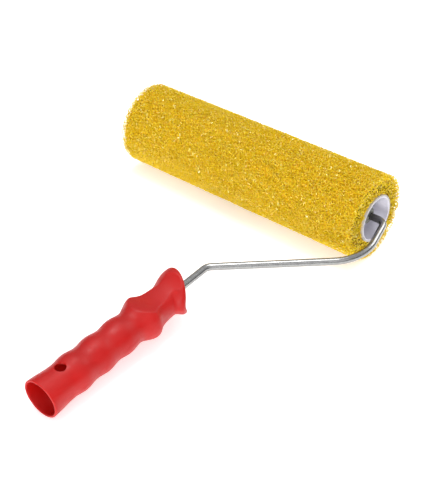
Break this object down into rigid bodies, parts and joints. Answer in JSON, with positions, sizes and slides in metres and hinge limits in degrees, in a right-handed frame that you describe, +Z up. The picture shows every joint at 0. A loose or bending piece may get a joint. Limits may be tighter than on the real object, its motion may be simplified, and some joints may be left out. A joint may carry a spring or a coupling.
{
  "type": "paint roller",
  "caption": "Coarse open-cell foam texture roller spinning on a bent wire frame, with a hollow moulded plastic handle for hand use or for a pole.",
  "frame": {"origin": "middle of the tool's bounding box, on the surface it lies on", "axes": "+Z up from the surface; +X along the roller's axle towards the outer arm of the wire; the roller is on the +Y side and the handle points towards -Y"},
  "size_m": [0.2704, 0.3423, 0.074],
  "materials": {
    "foam": "satin",
    "core_plastic": "matte",
    "cap_plastic": "satin",
    "wire_steel": "satin",
    "washer_steel": "satin",
    "handle_plastic": "satin"
  },
  "bodies": {
    "frame": {"frame_wire": "wire_steel", "frame_side_thrust_washer": "washer_steel", "frame_side_stop_washer": "washer_steel", "far_side_thrust_washer": "washer_steel", "far_side_push_cap": "wire_steel", "handle": "handle_plastic"},
    "roller": {"foam_sleeve": "foam", "core_tube": "core_plastic", "frame_side_end_cap": "cap_plastic", "far_side_end_cap": "cap_plastic"}
  },
  "joints": [
    {"name": "roller_spin", "type": "hinge", "parent": "frame", "child": "roller", "pos_m": [-0.00967, 0.13416, 0.037], "axis": [1, 0, 0], "continuous": true}
  ]
}
